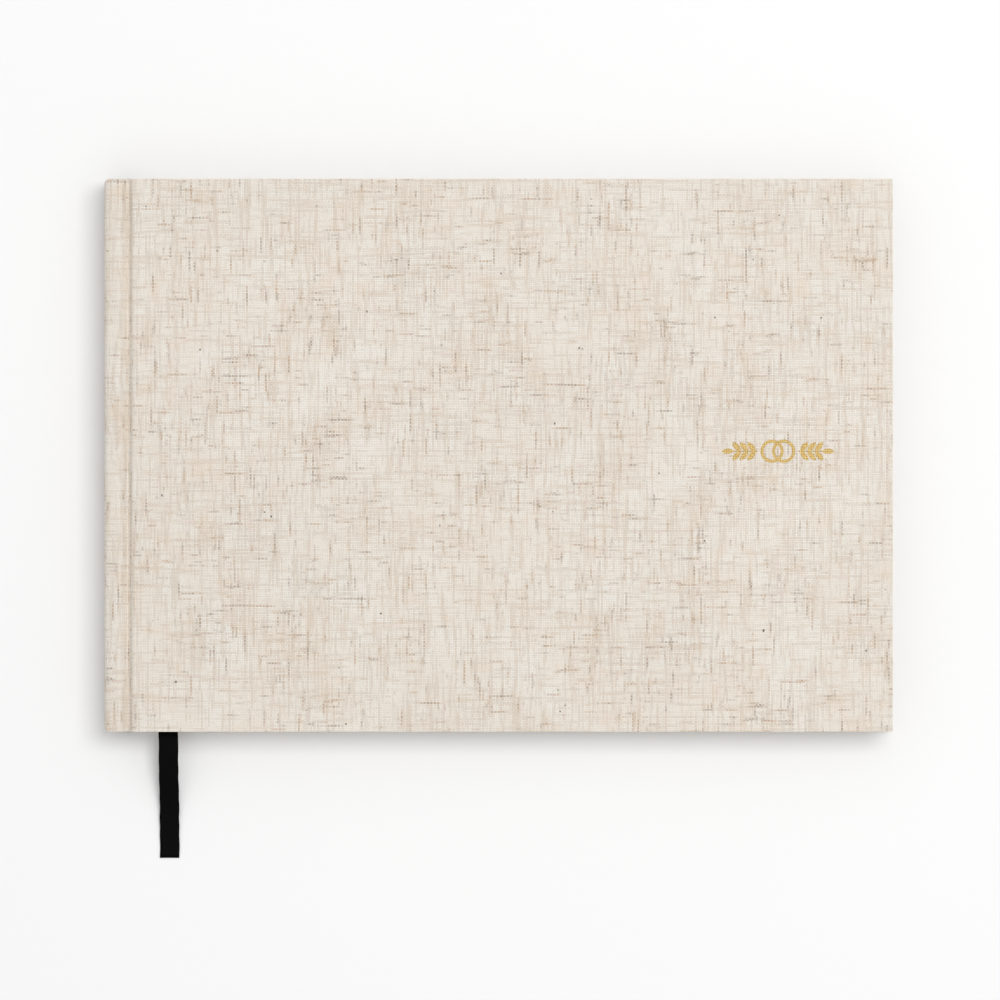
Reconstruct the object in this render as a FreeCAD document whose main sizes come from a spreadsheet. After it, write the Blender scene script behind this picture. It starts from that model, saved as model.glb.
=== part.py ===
import FreeCAD, Part
import Sketcher

import math
import os

# Case-bound landscape guest book, in millimetres. It lies on its back cover at z = 0, with the
# spine at -X, the fore-edge at +X and the head at +Y. The origin is the middle of that face.

doc = FreeCAD.newDocument("GuestBook")
sheet = doc.addObject("Spreadsheet::Sheet", "Sizes")

DRIVING_SIZES = (
    ("cover_length", 254.0),        # spine to fore-edge
    ("cover_width", 178.0),         # head to tail
    ("book_thick", 18.0),
    ("cloth_thick", 0.4),
    ("board_thick", 2.5),
    ("board_corner", 1.2),
    ("spine_board_thick", 1.5),
    ("turn_in", 15.0),              # cloth folded over a board's inner face
    ("square", 3.0),                # how far a cover stands past the leaves
    ("board_setback", 9.6),         # spine face to the board's near edge
    ("ridge_end", 7.4),             # spine face to the foot of the ridge
    ("groove_depth", 2.0),
    ("ridge_drop", 0.3),            # the ridge is this much lower than the board
    ("fold_setback", 3.6),          # spine face to the folds of the signatures
    ("hinge_gap", 0.3),             # clearance between the spine pieces and a hinge line
    ("paste_thick", 0.2),
    ("leaf_thick", 0.16),
    ("leaves_per_signature", 8),
    ("signature_count", 8),
    ("turning_signatures", 2),      # these are made leaf by leaf
    ("fold_rounding", 0.5),
    ("lining_thick", 0.2),          # kraft liner, gauze, tapes and thread alike
    ("lining_short", 2.0),          # the liner ends this far inside the leaves
    ("gauze_short", 11.0),
    ("gauze_flange", 20.0),         # gauze glued to a board's inner face
    ("tape_width", 12.0),
    ("tape_count", 4),
    ("tape_pitch", 38.0),
    ("kettle_setback", 8.0),        # head or tail edge to the kettle stitches
    ("endband_length", 1.4),
    ("endband_depth", 1.2),
    ("ribbon_width", 6.4),
    ("ribbon_thick", 0.2),
    ("ribbon_inset", 20.3),         # spine face to the ribbon's middle at the tail
    ("ribbon_slant", 12.0),         # the ribbon starts this much nearer the spine
    ("ribbon_out", 0.6),            # where the free tail starts, past the tail edge
    ("ornament_inset", 37.0),       # fore-edge to the middle of the foil ornament
    ("ornament_rise", 1.3),
    ("ornament_length", 37.0),
    ("ornament_height", 11.0),
    ("foil_thick", 0.04),
)

for row, (alias, value) in enumerate(DRIVING_SIZES, start=1):
    sheet.set("A%d" % row, alias)
    sheet.set("B%d" % row, str(value))
    sheet.setAlias("B%d" % row, alias)
doc.recompute()


def size(alias):
    """One driving size, as the sheet holds it."""
    return float(sheet.get(alias))


def bound(expression):
    """An expression on plain aliases, with each one written as a cell of the sheet."""
    for alias in sorted((name for name, _ in DRIVING_SIZES), key=len, reverse=True):
        expression = expression.replace("<%s>" % alias, "Sizes.%s" % alias)
    return expression


# Places that several pieces share, as expressions on the sheet.
SPINE_X = "(-<cover_length> / 2)"
HALF_Y = "(<cover_width> / 2)"
LEAF_HALF_Y = "(<cover_width> / 2 - <square>)"
BOARD_X = "(-<cover_length> / 2 + <board_setback>)"
FOLD_X = "(-<cover_length> / 2 + <fold_setback>)"
COVER_DEPTH = "(2 * <cloth_thick> + <board_thick> + <paste_thick>)"
SPINE_LOW = "(2 * <cloth_thick> + <board_thick> + <paste_thick> + <hinge_gap>)"
SPINE_TALL = "(<book_thick> - 2 * (2 * <cloth_thick> + <board_thick> + <paste_thick> + <hinge_gap>))"
LEAF_LENGTH = "(<cover_length> - <fold_setback> - <square>)"

kept = []


def keep(piece, label):
    piece.Label = label
    kept.append(piece)
    return piece


def block(name, low, extent):
    """A Part::Box from its low corner and its extent, both as expressions."""
    piece = doc.addObject("Part::Box", name)
    for prop, expression in zip(("Length", "Width", "Height"), extent):
        piece.setExpression(prop, bound(expression))
    for axis, expression in zip("xyz", low):
        piece.setExpression("Placement.Base." + axis, bound(expression))
    return piece


def cut(name, base, tool):
    piece = doc.addObject("Part::Cut", name)
    piece.Base = base
    piece.Tool = tool
    return piece


def solid(name, shape, place=FreeCAD.Vector()):
    piece = doc.addObject("Part::Feature", name)
    piece.Shape = shape
    piece.Placement = FreeCAD.Placement(place, FreeCAD.Rotation())
    return piece


def side_low(side, depth, thick):
    """Low z of a layer that starts at a depth under the front or the back of the book."""
    if side == "front":
        return "(<book_thick> - %s - %s)" % (depth, thick)
    return depth


# ---- boards: rectangles padded upwards, with slightly rounded corners

def plate_body(name, left, length, half_width, low, thick, corner):
    body = doc.addObject("PartDesign::Body", name)
    sketch = body.newObject("Sketcher::SketchObject", name + "_outline")
    plane = next(item for item in body.Origin.OriginFeatures if item.Role == "XY_Plane")
    sketch.AttachmentSupport = [(plane, "")]
    sketch.MapMode = "FlatFace"
    sketch.setExpression("AttachmentOffset.Base.z", bound(low))
    corners = [FreeCAD.Vector(x, y, 0) for x, y in ((1, -1), (2, -1), (2, 1), (1, 1))]
    for start, end in zip(corners, corners[1:] + corners[:1]):
        sketch.addGeometry(Part.LineSegment(start, end), False)
    for line in range(4):
        sketch.addConstraint(Sketcher.Constraint("Coincident", line, 2, (line + 1) % 4, 1))
    for line, kind in enumerate(("Horizontal", "Vertical", "Horizontal", "Vertical")):
        sketch.addConstraint(Sketcher.Constraint(kind, line))
    for label, kind, places, expression in (
        ("length", "DistanceX", (0, 1, 0, 2), length),
        ("width", "DistanceY", (1, 1, 1, 2), "2 * " + half_width),
        ("left", "DistanceX", (-1, 1, 0, 1), left),
        ("tail", "DistanceY", (0, 1, -1, 1), half_width),
    ):
        index = sketch.addConstraint(Sketcher.Constraint(kind, *places, 1.0))
        sketch.renameConstraint(index, label)
        sketch.setExpression("Constraints." + label, bound(expression))
    pad = body.newObject("PartDesign::Pad", name + "_pad")
    pad.Profile = sketch
    pad.setExpression("Length", bound(thick))
    doc.recompute()
    upright = [
        "Edge%d" % number
        for number, edge in enumerate(pad.Shape.Edges, start=1)
        if abs(edge.tangentAt(edge.FirstParameter).z) > 0.99 and edge.CenterOfMass.x > 0
    ]
    fillet = body.newObject("PartDesign::Fillet", name + "_corners")
    fillet.Base = (pad, upright)
    fillet.setExpression("Radius", bound(corner))
    body.Tip = fillet
    return body


for side in ("front", "back"):
    keep(plate_body(
        side + "_board", BOARD_X,
        "(<cover_length> - <board_setback> - <cloth_thick>)",
        "(<cover_width> / 2 - <cloth_thick>)",
        side_low(side, "<cloth_thick>", "<board_thick>"), "<board_thick>", "<board_corner>",
    ), side + "_board")

keep(block(
    "spine_board",
    (SPINE_X + " + <cloth_thick>", "-%s + <cloth_thick>" % HALF_Y, SPINE_LOW),
    ("<spine_board_thick>", "2 * (%s - <cloth_thick>)" % HALF_Y, SPINE_TALL),
), "spine_board")


# ---- linen: a skin over each board with its turn-ins, a strip over each joint, and the spine

def cover_cloth(side):
    skin_depth = "(2 * <cloth_thick> + <board_thick>)"
    length = "(<cover_length> - <board_setback>)"
    skin = block(
        side + "_cloth_outside",
        (BOARD_X, "-" + HALF_Y, side_low(side, "0", skin_depth)),
        (length, "2 * " + HALF_Y, skin_depth),
    )
    room = block(
        side + "_cloth_board_room",
        (BOARD_X, "-%s + <cloth_thick>" % HALF_Y, side_low(side, "<cloth_thick>", "<board_thick>")),
        (length + " - <cloth_thick>", "2 * (%s - <cloth_thick>)" % HALF_Y, "<board_thick>"),
    )
    window = block(
        side + "_cloth_window",
        (BOARD_X, "-%s + <turn_in>" % HALF_Y,
         side_low(side, "(<cloth_thick> + <board_thick>)", "<cloth_thick>")),
        (length + " - <turn_in>", "2 * (%s - <turn_in>)" % HALF_Y, "<cloth_thick>"),
    )
    skin_around_board = cut(side + "_cloth_sleeve", skin, room)
    return cut(side + "_cloth", skin_around_board, window)


def joint_cloth(side):
    """The strip from the spine's edge over the rounded ridge and down into the groove."""
    cloth = size("cloth_thick")
    spine_x = -size("cover_length") / 2 + cloth / 2
    foot_x = -size("cover_length") / 2 + size("ridge_end")
    board_x = -size("cover_length") / 2 + size("board_setback") - cloth / 2
    cover_depth = 2 * cloth + size("board_thick") + size("paste_thick")
    start_z = size("book_thick") - cover_depth - size("hinge_gap")
    ridge_z = size("book_thick") - size("ridge_drop") - cloth / 2
    groove_z = size("book_thick") - size("groove_depth") - cloth / 2
    shoulder = 1.8
    crown = 0.25
    top_z = size("book_thick") - cloth / 2
    bend = shoulder * (1 - math.sqrt(0.5))
    points = [
        FreeCAD.Vector(spine_x, 0, start_z),
        FreeCAD.Vector(spine_x, 0, ridge_z - shoulder),
        FreeCAD.Vector(spine_x + bend, 0, ridge_z - bend),
        FreeCAD.Vector(spine_x + shoulder, 0, ridge_z),
        FreeCAD.Vector((spine_x + shoulder + foot_x - 1) / 2, 0, ridge_z + crown),
        FreeCAD.Vector(foot_x - 1, 0, ridge_z),
        FreeCAD.Vector(foot_x, 0, groove_z),
        FreeCAD.Vector(board_x, 0, groove_z),
        FreeCAD.Vector(board_x, 0, top_z),
    ]
    edges = [
        Part.LineSegment(points[0], points[1]).toShape(),
        Part.Arc(points[1], points[2], points[3]).toShape(),
        Part.Arc(points[3], points[4], points[5]).toShape(),
        Part.LineSegment(points[5], points[6]).toShape(),
        Part.LineSegment(points[6], points[7]).toShape(),
        Part.LineSegment(points[7], points[8]).toShape(),
    ]
    strip = ribbon_face(edges, cloth)
    strip.translate(FreeCAD.Vector(0, -size("cover_width") / 2, 0))
    shape = strip.extrude(FreeCAD.Vector(0, size("cover_width"), 0))
    if side == "back":
        middle = FreeCAD.Vector(0, 0, size("book_thick") / 2)
        shape = shape.mirror(middle, FreeCAD.Vector(0, 0, 1))
    return solid(side + "_joint_cloth", shape)


def ribbon_face(edges, thick):
    """A flat face that follows a path in a plane, half its thickness to each side."""
    path = Part.Wire(edges)
    outer = path.makeOffset2D(thick / 2, join=0, fill=False, openResult=True)
    inner = path.makeOffset2D(-thick / 2, join=0, fill=False, openResult=True)
    ends = []
    for outer_end, inner_end in ((0, 0), (-1, -1)):
        ends.append(Part.LineSegment(
            outer.OrderedVertexes[outer_end].Point, inner.OrderedVertexes[inner_end].Point,
        ).toShape())
    outline = Part.Wire(Part.__sortEdges__(outer.Edges + inner.Edges + ends))
    return Part.Face(outline)


for side in ("front", "back"):
    keep(cover_cloth(side), side + "_cloth")
    keep(joint_cloth(side), side + "_joint_cloth")

keep(block(
    "spine_cloth",
    (SPINE_X, "-" + HALF_Y, SPINE_LOW),
    ("<cloth_thick>", "2 * " + HALF_Y, SPINE_TALL),
), "spine_cloth")


# ---- endpapers: a pastedown on each cover, and the flyleaves that open the block

for side in ("front", "back"):
    keep(block(
        side + "_pastedown",
        (BOARD_X, "-%s" % LEAF_HALF_Y,
         side_low(side, "(2 * <cloth_thick> + <board_thick>)", "<paste_thick>")),
        ("(<cover_length> - <board_setback> - <square>)", "2 * " + LEAF_HALF_Y, "<paste_thick>"),
    ), side + "_pastedown")
    keep(block(
        side + "_flyleaf",
        (FOLD_X, "-" + LEAF_HALF_Y, side_low(side, COVER_DEPTH, "<paste_thick>")),
        (LEAF_LENGTH, "2 * " + LEAF_HALF_Y, "<paste_thick>"),
    ), side + "_flyleaf")
    keep(block(
        side + "_gauze_flange",
        (BOARD_X, "-%s + <gauze_short> + <turn_in>" % LEAF_HALF_Y,
         side_low(side, "(<cloth_thick> + <board_thick> + <cloth_thick> - <lining_thick>)",
                  "<lining_thick>")),
        ("<gauze_flange>", "2 * (%s - <gauze_short> - <turn_in>)" % LEAF_HALF_Y, "<lining_thick>"),
    ), side + "_gauze_flange")


# ---- leaves: signature 1 is under the front flyleaf, and the ribbon lies in the middle gap

SIGNATURE_TALL = "(<leaves_per_signature> * <leaf_thick>)"
BLOCK_TOP = "(<book_thick> - %s - <paste_thick>)" % COVER_DEPTH
BLOCK_LOW = "(%s + <paste_thick>)" % COVER_DEPTH

turning = int(size("turning_signatures"))
per_signature = int(size("leaves_per_signature"))
signatures = int(size("signature_count"))


def signature(number):
    """A folded section as one solid, with the two edges of its fold rounded."""
    name = "signature_%d" % number
    if number <= signatures // 2:
        low = "%s - %d * %s" % (BLOCK_TOP, number, SIGNATURE_TALL)
    else:
        low = "%s + %d * %s" % (BLOCK_LOW, signatures - number, SIGNATURE_TALL)
    pages = block(
        name + "_pages",
        (FOLD_X, "-" + LEAF_HALF_Y, low),
        (LEAF_LENGTH, "2 * " + LEAF_HALF_Y, SIGNATURE_TALL),
    )
    doc.recompute()
    fold_x = pages.Shape.BoundBox.XMin
    rounded = doc.addObject("Part::Fillet", name)
    rounded.Base = pages
    rounded.Edges = [
        (index, size("fold_rounding"), size("fold_rounding"))
        for index, edge in enumerate(pages.Shape.Edges, start=1)
        if abs(edge.tangentAt(edge.FirstParameter).y) > 0.99
        and abs(edge.CenterOfMass.x - fold_x) < 1e-6
    ]
    return rounded


for leaf in range(1, turning * per_signature + 1):
    keep(block(
        "leaf_%02d" % leaf,
        (FOLD_X, "-" + LEAF_HALF_Y, "%s - %d * <leaf_thick>" % (BLOCK_TOP, leaf)),
        (LEAF_LENGTH, "2 * " + LEAF_HALF_Y, "<leaf_thick>"),
    ), "leaf_%02d" % leaf)

for number in range(turning + 1, signatures + 1):
    keep(signature(number), "signature_%d" % number)


# ---- spine linings, from the folds outwards: tapes, thread, gauze, kraft liner

def signature_middle(number):
    """Height of a signature's fold; the ribbon's gap is in the middle of the block."""
    tall = size("leaves_per_signature") * size("leaf_thick")
    cover_depth = 2 * size("cloth_thick") + size("board_thick") + size("paste_thick")
    if number <= signatures // 2:
        return size("book_thick") - cover_depth - size("paste_thick") - (number - 0.5) * tall
    return cover_depth + size("paste_thick") + (signatures - number + 0.5) * tall


lining = size("lining_thick")
fold_x = -size("cover_length") / 2 + size("fold_setback")
leaf_half_y = size("cover_width") / 2 - size("square")
spine_low = (2 * size("cloth_thick") + size("board_thick") + size("paste_thick")
             + size("hinge_gap"))
spine_tall = size("book_thick") - 2 * spine_low
tape_places = [
    (index - (size("tape_count") - 1) / 2) * size("tape_pitch")
    for index in range(int(size("tape_count")))
]


def sewing_tapes():
    return Part.makeCompound([
        Part.makeBox(
            lining, size("tape_width"), spine_tall,
            FreeCAD.Vector(fold_x - lining, place - size("tape_width") / 2, spine_low),
        )
        for place in tape_places
    ])


def sewing_thread():
    """A stitch over each tape at each fold, and the kettle stitches near head and tail."""
    stitches = []
    overhang = 0.6
    for number in range(1, signatures + 1):
        for place in tape_places:
            stitches.append(Part.makeBox(
                lining, size("tape_width") + 2 * overhang, lining,
                FreeCAD.Vector(
                    fold_x - 2 * lining,
                    place - size("tape_width") / 2 - overhang,
                    signature_middle(number) - lining / 2,
                ),
            ))
    low = signature_middle(signatures)
    tall = signature_middle(1) - low
    for end in (-1, 1):
        middle = end * (leaf_half_y - size("kettle_setback"))
        stitches.append(Part.makeBox(
            lining, 2 * lining, tall, FreeCAD.Vector(fold_x - lining, middle - lining, low),
        ))
    return Part.makeCompound(stitches)


keep(solid("sewing_tapes", sewing_tapes()), "sewing_tapes")
keep(solid("sewing_thread", sewing_thread()), "sewing_thread")
keep(block(
    "spine_gauze",
    (FOLD_X + " - 3 * <lining_thick>", "-%s + <gauze_short>" % LEAF_HALF_Y, SPINE_LOW),
    ("<lining_thick>", "2 * (%s - <gauze_short>)" % LEAF_HALF_Y, SPINE_TALL),
), "spine_gauze")
keep(block(
    "spine_liner",
    (FOLD_X + " - 4 * <lining_thick>", "-%s + <lining_short>" % LEAF_HALF_Y, SPINE_LOW),
    ("<lining_thick>", "2 * (%s - <lining_short>)" % LEAF_HALF_Y, SPINE_TALL),
), "spine_liner")


def endband(name, end):
    """A round beaded edge on a short skirt, standing on the head or tail of the folds."""
    radius = size("endband_depth") / 2
    low = min(end * leaf_half_y, end * (leaf_half_y + size("endband_length") - radius))
    skirt = Part.makeBox(
        2 * radius, size("endband_length") - radius, spine_tall,
        FreeCAD.Vector(fold_x - 2 * lining, low, spine_low),
    )
    bead = Part.makeCylinder(
        radius, spine_tall,
        FreeCAD.Vector(
            fold_x - 2 * lining + radius,
            end * (leaf_half_y + size("endband_length") - radius),
            spine_low,
        ),
    )
    return solid(name, skirt.fuse(bead).removeSplitter())


keep(endband("head_band", 1), "head_band")
keep(endband("tail_band", -1), "tail_band")


# ---- ribbon marker: one part between the pages, and a free tail

ribbon_x = -size("cover_length") / 2 + size("ribbon_inset")
ribbon_z = size("book_thick") / 2
exit_y = -size("cover_width") / 2 - size("ribbon_out")


def ribbon_inside():
    """From the folds at the head, slanting to its place at the tail edge."""
    half = size("ribbon_width") / 2
    head_x = ribbon_x - size("ribbon_slant")
    straight_y = -size("cover_width") / 4
    middle_line = ((head_x, leaf_half_y), (ribbon_x, straight_y), (ribbon_x, exit_y))
    left = [FreeCAD.Vector(x - half, y, ribbon_z) for x, y in middle_line]
    right = [FreeCAD.Vector(x + half, y, ribbon_z) for x, y in reversed(middle_line)]
    outline = Part.Face(Part.makePolygon(left + right + left[:1]))
    outline.translate(FreeCAD.Vector(0, 0, -size("ribbon_thick") / 2))
    return outline.extrude(FreeCAD.Vector(0, 0, size("ribbon_thick")))


# The free tail's route in its own plane: distance out from its start, and height.
RIBBON_ROUTE = (
    (0.0, 9.0), (7.0, 8.7), (14.4, 5.9), (21.9, 2.2), (29.6, 0.75), (35.8, 0.3), (41.0, 0.2),
)


def rounded_route(points):
    """Straight runs joined by tangent arcs as large as the two runs allow."""
    edges = []
    start = points[0]
    for before, corner, after in zip(points, points[1:], points[2:]):
        into = corner - before
        out = after - corner
        turn = into.getAngle(out)
        reach = 0.45 * min(into.Length, out.Length)
        radius = reach / math.tan(turn / 2)
        into.normalize()
        out.normalize()
        arc_start = corner - into * reach
        arc_end = corner + out * reach
        inward = out - into
        inward.normalize()
        sagitta = radius * (1 / math.cos(turn / 2) - 1)
        edges.append(Part.LineSegment(start, arc_start).toShape())
        edges.append(Part.Arc(arc_start, corner + inward * sagitta, arc_end).toShape())
        print("ribbon arc radius", round(radius, 1))
        start = arc_end
    edges.append(Part.LineSegment(start, points[-1]).toShape())
    return edges


def ribbon_tail():
    points = [FreeCAD.Vector(0, exit_y - out, height) for out, height in RIBBON_ROUTE]
    edges = rounded_route(points)
    profile = ribbon_face(edges, size("ribbon_thick"))
    profile.translate(FreeCAD.Vector(ribbon_x - size("ribbon_width") / 2, 0, 0))
    shape = profile.extrude(FreeCAD.Vector(size("ribbon_width"), 0, 0))
    length = sum(edge.Length for edge in edges)
    section = size("ribbon_width") * size("ribbon_thick")
    print("ribbon tail length", round(length, 2), "volume ratio",
          round(shape.Volume / (section * length), 4))
    return shape


keep(solid("ribbon_inside", ribbon_inside()), "ribbon_inside")
keep(solid("ribbon_tail", ribbon_tail()), "ribbon_tail")


# ---- foil ornament: two linked rings between two leafy sprigs, on the front cloth

def foil_ring(centre_x, radius, width):
    disc = Part.makeCylinder(radius, size("foil_thick"), FreeCAD.Vector(centre_x, 0, 0))
    hole = Part.makeCylinder(radius - width, size("foil_thick"), FreeCAD.Vector(centre_x, 0, 0))
    return disc.cut(hole)


def foil_leaf(x, y, angle, length, width):
    """A pointed leaf: two arcs between its base and its tip."""
    half = width / 2
    base = FreeCAD.Vector(0, 0, 0)
    tip = FreeCAD.Vector(length, 0, 0)
    upper = Part.Arc(base, FreeCAD.Vector(length / 2, half, 0), tip).toShape()
    lower = Part.Arc(tip, FreeCAD.Vector(length / 2, -half, 0), base).toShape()
    leaf = Part.Face(Part.Wire([upper, lower])).extrude(FreeCAD.Vector(0, 0, size("foil_thick")))
    leaf.rotate(FreeCAD.Vector(0, 0, 0), FreeCAD.Vector(0, 0, 1), angle)
    leaf.translate(FreeCAD.Vector(x, y, 0))
    return leaf


def foil_sprig(side):
    """A stem that runs outwards from the rings, with pairs of leaves and one at its end."""
    half_length = size("ornament_length") / 2
    start = size("ornament_height") * 0.6
    leaf_length = size("ornament_height") * 0.36
    leaf_width = leaf_length * 0.5
    stem_width = 0.5
    stem_end = half_length - leaf_length
    pairs = 3
    pieces = [Part.makeBox(
        stem_end - start, stem_width, size("foil_thick"), FreeCAD.Vector(start, -stem_width / 2, 0),
    )]
    for index in range(pairs):
        x = start + 0.6 + index * (stem_end - start - 0.6) / pairs
        for way in (-1, 1):
            pieces.append(foil_leaf(x, 0, way * 48, leaf_length, leaf_width))
    pieces.append(foil_leaf(stem_end - 0.2, 0, 0, leaf_length, leaf_width))
    sprig = pieces[0].multiFuse(pieces[1:]).removeSplitter()
    if side < 0:
        sprig = sprig.mirror(FreeCAD.Vector(0, 0, 0), FreeCAD.Vector(1, 0, 0))
    return sprig


def foil_ornament():
    ring_radius = size("ornament_height") * 0.34
    ring_width = 1.0
    rings = foil_ring(-ring_radius / 2, ring_radius, ring_width).fuse(
        foil_ring(ring_radius / 2, ring_radius, ring_width)).removeSplitter()
    return Part.makeCompound([rings, foil_sprig(-1), foil_sprig(1)])


ornament_place = FreeCAD.Vector(
    size("cover_length") / 2 - size("ornament_inset"), size("ornament_rise"), size("book_thick"),
)
keep(solid("foil_ornament", foil_ornament(), ornament_place), "foil_ornament")


# ---- check everything, then write one file for each piece

doc.recompute()
for item in doc.Objects:
    if "Invalid" in item.State or "Error" in item.State:
        raise RuntimeError("%s did not recompute: %s" % (item.Name, item.State))
for piece in kept:
    if piece.Shape.isNull() or not piece.Shape.isValid():
        raise RuntimeError("%s has no valid shape" % piece.Label)

os.makedirs("parts", exist_ok=True)
for piece in kept:
    piece.Shape.exportStep("parts/%s.step" % piece.Label)
    print("%-20s %8.1f mm3 %d solids" % (piece.Label, piece.Shape.Volume, len(piece.Shape.Solids)))
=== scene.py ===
import math
import random

import bmesh
import bpy
from mathutils import Matrix, Vector
from mathutils.bvhtree import BVHTree


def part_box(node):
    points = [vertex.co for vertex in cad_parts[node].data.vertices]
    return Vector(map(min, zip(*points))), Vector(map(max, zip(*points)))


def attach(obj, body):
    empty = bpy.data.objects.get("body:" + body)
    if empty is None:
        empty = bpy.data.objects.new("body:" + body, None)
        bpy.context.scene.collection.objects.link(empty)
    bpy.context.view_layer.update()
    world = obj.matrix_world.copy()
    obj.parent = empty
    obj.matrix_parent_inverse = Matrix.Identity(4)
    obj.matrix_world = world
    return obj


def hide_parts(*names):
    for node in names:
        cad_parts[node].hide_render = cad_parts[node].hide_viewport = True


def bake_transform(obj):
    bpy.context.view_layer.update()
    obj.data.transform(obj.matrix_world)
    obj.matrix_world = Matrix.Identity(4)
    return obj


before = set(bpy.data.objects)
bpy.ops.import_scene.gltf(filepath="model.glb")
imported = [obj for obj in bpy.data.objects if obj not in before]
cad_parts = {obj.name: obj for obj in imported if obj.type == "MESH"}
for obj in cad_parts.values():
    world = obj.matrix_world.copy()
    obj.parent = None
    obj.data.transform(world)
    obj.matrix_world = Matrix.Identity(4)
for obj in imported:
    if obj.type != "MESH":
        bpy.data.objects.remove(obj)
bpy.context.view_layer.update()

MM = 0.001
random.seed(20)

# ---------------------------------------------------------------- places, from the frame

FRONT_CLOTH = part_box("front_cloth")
SPINE_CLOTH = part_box("spine_cloth")
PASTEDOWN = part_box("front_pastedown")
FIRST_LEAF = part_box("leaf_01")
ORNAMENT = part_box("foil_ornament")
ORNAMENT_MIDDLE = [(low + high) / 2 for low, high in zip(*ORNAMENT)]
STAMP_DEPTH = 0.11 * MM                        # how far the foil is pressed into the cloth

TOP_Z = FRONT_CLOTH[1][2]                      # outer face of the front cover
MIDDLE_Z = TOP_Z / 2
SPINE_X = SPINE_CLOTH[0][0]
FORE_X = FRONT_CLOTH[1][0]
HALF_Y = FRONT_CLOTH[1][1]
BOARD_X = FRONT_CLOTH[0][0]                    # the board's edge beside the joint
CLOTH = SPINE_CLOTH[1][0] - SPINE_CLOTH[0][0]
SLEEVE_DEPTH = TOP_Z - FRONT_CLOTH[0][2]
BLOCK_TOP = PASTEDOWN[0][2]
LEAF_HALF_Y = FIRST_LEAF[1][1]
LEAF_FORE_X = FIRST_LEAF[1][0]
FOLD_X = FIRST_LEAF[0][0]
SHEET = FIRST_LEAF[1][2] - FIRST_LEAF[0][2]    # room for one leaf in the closed block

TURN_IN = 15 * MM


# ---------------------------------------------------------------- camera, light and floor

def set_camera():
    """A long lens straight above the cover, a little towards the tail."""
    picture_width = 321.9 * MM
    distance = 2.0
    lens = bpy.data.cameras.new("camera")
    lens.sensor_width = 36
    lens.lens = lens.sensor_width * distance / picture_width
    lens.clip_end = 20
    camera = bpy.data.objects.new("camera", lens)
    camera.location = (0.56 * MM, -14.4 * MM, TOP_Z + distance)
    bpy.context.scene.collection.objects.link(camera)
    bpy.context.scene.camera = camera


def set_ceiling_light(name, place, size, watts):
    """A soft rectangle that faces straight down."""
    lamp = bpy.data.lights.new(name, "AREA")
    lamp.shape = "RECTANGLE"
    lamp.size, lamp.size_y = size
    lamp.energy = watts
    light = bpy.data.objects.new(name, lamp)
    light.location = place
    bpy.context.scene.collection.objects.link(light)


def set_room():
    world = bpy.data.worlds.new("soft_room")
    world.use_nodes = True
    room = Finish.of_tree(world.node_tree)
    _, _, rise = room.parts(room.node("ShaderNodeTexCoord", output="Generated"))
    glow = rise.step(0.05, 0.75) * 0.38 + 0.43
    light = room.node("ShaderNodeBackground", None, {"Color": tint(1, 1, 1), "Strength": glow})
    room.node("ShaderNodeOutputWorld", None, {"Surface": light})
    bpy.context.scene.world = world
    bpy.context.scene.view_settings.view_transform = "Standard"
    set_ceiling_light("key", (0.64, 0.47, 2.2), (1.26, 0.92), 25.0)


# ---------------------------------------------------------------- shader maths

class Field:
    """A value that varies over a surface, so that shader maths is written as Python."""

    def __init__(self, finish, socket):
        self.finish = finish
        self.socket = socket

    def maths(self, operation, *others):
        values = dict(enumerate((self,) + others))
        return self.finish.node("ShaderNodeMath", {"operation": operation}, values)

    def __add__(self, other):
        return self.maths("ADD", other)

    __radd__ = __add__

    def __mul__(self, other):
        return self.maths("MULTIPLY", other)

    __rmul__ = __mul__

    def __sub__(self, other):
        return self.maths("SUBTRACT", other)

    def __rsub__(self, other):
        values = {0: other, 1: self}
        return self.finish.node("ShaderNodeMath", {"operation": "SUBTRACT"}, values)

    def __truediv__(self, other):
        return self.maths("DIVIDE", other)

    def floor(self):
        return self.maths("FLOOR")

    def fraction(self):
        return self.maths("FRACT")

    def absolute(self):
        return self.maths("ABSOLUTE")

    def sine(self):
        return self.maths("SINE")

    def largest(self, other):
        return self.maths("MAXIMUM", other)

    def step(self, low, high):
        """0 below low and 1 above high, with a smooth rise between."""
        return self.finish.node(
            "ShaderNodeMapRange", {"interpolation_type": "SMOOTHSTEP"},
            {"Value": self, "From Min": low, "From Max": high, "To Min": 0.0, "To Max": 1.0},
        )


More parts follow.
